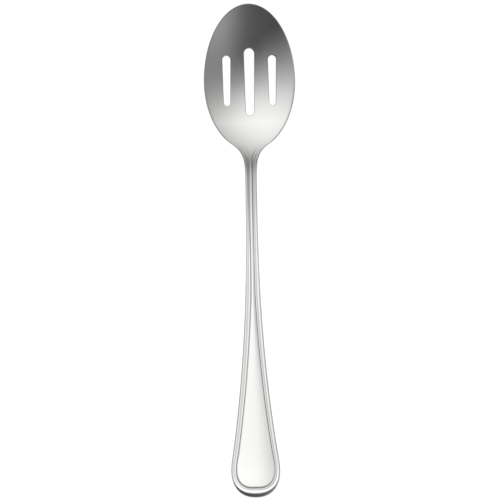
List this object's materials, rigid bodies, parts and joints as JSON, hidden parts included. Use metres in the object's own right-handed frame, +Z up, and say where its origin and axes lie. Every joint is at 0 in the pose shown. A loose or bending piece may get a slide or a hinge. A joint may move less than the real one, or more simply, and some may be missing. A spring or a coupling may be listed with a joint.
{
  "type": "slotted serving spoon",
  "caption": "Long-handled serving spoon with an oval hollow bowl pierced by drain slots, a slim arched neck and a flared handle with a beaded border.",
  "frame": {"origin": "centre of the bounding box in plan, at the table it lies on", "axes": "+Y along the spoon from the handle end to the tip of the bowl, +Z up out of the hollow of the bowl, +X to the right"},
  "size_m": [0.0608, 0.33, 0.0186],
  "materials": {
    "polished_steel": "polished"
  },
  "bodies": {
    "root": {"bowl": "polished_steel", "neck": "polished_steel", "handle": "polished_steel"}
  },
  "joints": []
}
